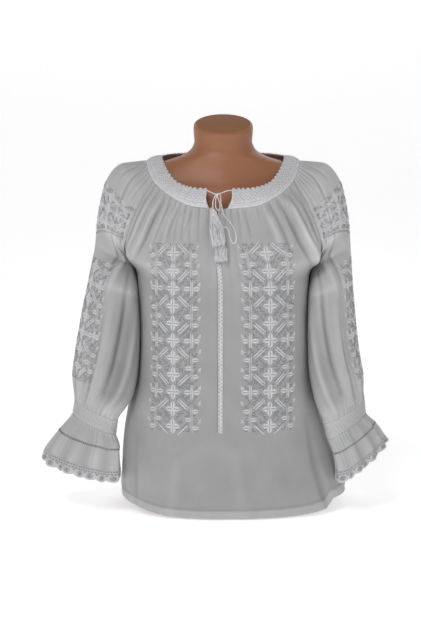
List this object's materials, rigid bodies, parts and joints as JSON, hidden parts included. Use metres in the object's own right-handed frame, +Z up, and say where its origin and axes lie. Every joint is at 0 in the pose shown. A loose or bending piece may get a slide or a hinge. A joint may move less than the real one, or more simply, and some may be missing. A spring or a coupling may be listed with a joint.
{
  "type": "romanian ie blouse on a dress form",
  "caption": "White gathered raglan peasant blouse with embroidered front and full cuffed sleeves, standing on a limbless dress form.",
  "frame": {"origin": "centre of the dress form's flat base", "axes": "+Z up the form to its neck, +Y towards the back, +X towards the right as seen from the front"},
  "size_m": [0.6205, 0.2687, 0.6984],
  "materials": {
    "form_plastic": "satin",
    "cotton_voile": "thin white plain-weave voile",
    "smocked_cotton": "stitched and smocked white cotton",
    "trimming": "white woven trimming",
    "crochet_lace": "white crocheted lace",
    "cotton_cord": "white mercerised cotton cord"
  },
  "bodies": {
    "root": {"form": "form_plastic", "body_front": "cotton_voile", "body_back": "cotton_voile", "slit_binding": "trimming", "front_trim": "trimming", "neckband": "smocked_cotton", "sleeve_left": "cotton_voile", "sleeve_right": "cotton_voile", "wristband_left": "cotton_voile", "wristband_right": "cotton_voile", "flounce_upper_left": "cotton_voile", "flounce_upper_right": "cotton_voile", "flounce_lower_left": "cotton_voile", "flounce_lower_right": "cotton_voile", "lace_left": "crochet_lace", "lace_right": "crochet_lace", "tie_left": "cotton_cord", "tie_right": "cotton_cord", "bow_loop": "cotton_cord", "tie_end_left": "cotton_cord", "tie_end_right": "cotton_cord", "knot": "cotton_cord", "tassel_left": "cotton_cord", "tassel_right": "cotton_cord"}
  },
  "joints": []
}
